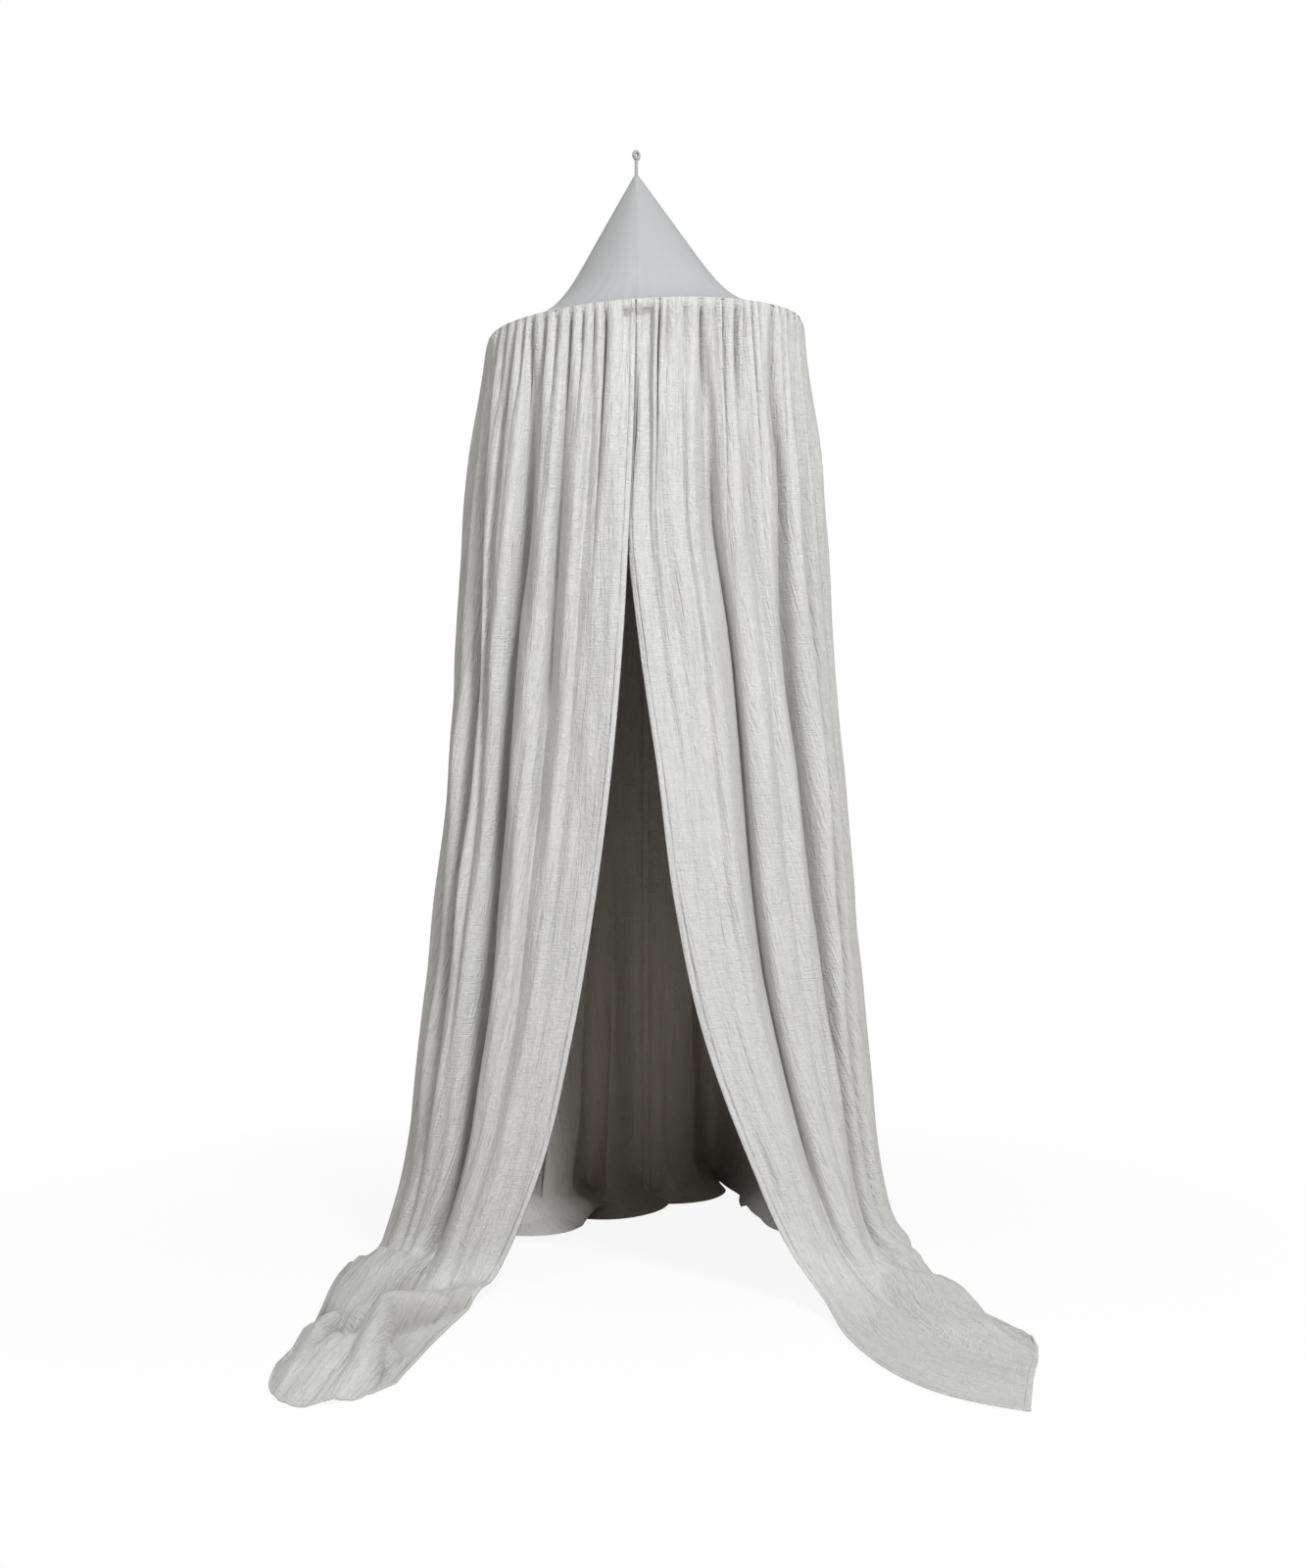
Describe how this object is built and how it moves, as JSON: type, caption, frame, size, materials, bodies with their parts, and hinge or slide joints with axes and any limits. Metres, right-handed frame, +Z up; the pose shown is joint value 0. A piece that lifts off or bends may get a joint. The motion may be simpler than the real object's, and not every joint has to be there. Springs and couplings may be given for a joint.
{
  "type": "bed canopy",
  "caption": "Hanging bed canopy: a cloth cone on a hoop carries gathered curtains that reach the floor and part at the front.",
  "frame": {"origin": "where the hook bears, in the eye of the hanging loop", "axes": "+Z up; the slit between the two front curtains faces -Y; +X is the canopy's right as seen from the front"},
  "size_m": [1.0081, 1.4748, 1.7637],
  "materials": {
    "cotton_gauze": "crinkled cotton double gauze, pale warm grey, matt",
    "cotton_plain": "smooth plain-woven cotton, pale grey, matt",
    "cord": "twisted cotton cord, grey",
    "tape": "cotton tape, matt",
    "hoop_plastic": "off-white extruded plastic rod",
    "sleeve_plastic": "pale grey plastic tube"
  },
  "bodies": {
    "loop": {"hanging_loop": "cord"},
    "canopy": {"apex_patch": "tape", "left_cone_gore": "cotton_plain", "right_cone_gore": "cotton_plain", "front_cone_tape": "tape", "back_cone_tape": "tape", "hoop_rod_1": "hoop_plastic", "hoop_rod_2": "hoop_plastic", "hoop_rod_3": "hoop_plastic", "hoop_rod_4": "hoop_plastic", "hoop_sleeve_1": "sleeve_plastic", "hoop_sleeve_2": "sleeve_plastic", "hoop_sleeve_3": "sleeve_plastic", "hoop_sleeve_4": "sleeve_plastic", "hoop_casing": "cotton_plain", "gather_band": "tape", "left_back_curtain": "cotton_gauze", "right_back_curtain": "cotton_gauze", "back_seam_tape": "tape"},
    "left_curtain": {"left_front_curtain": "cotton_gauze"},
    "right_curtain": {"right_front_curtain": "cotton_gauze"}
  },
  "joints": [
    {"name": "canopy_swivel", "type": "hinge", "parent": "loop", "child": "canopy", "pos_m": [0, 0, -0.038], "axis": [0, 0, 1], "continuous": true},
    {"name": "left_curtain_swing", "type": "hinge", "parent": "canopy", "child": "left_curtain", "pos_m": [-0.5, 0, -1], "axis": [0, 0, -1], "range_deg": [0, 45]},
    {"name": "right_curtain_swing", "type": "hinge", "parent": "canopy", "child": "right_curtain", "pos_m": [0.5, 0, -1], "axis": [0, 0, 1], "range_deg": [0, 45]}
  ]
}
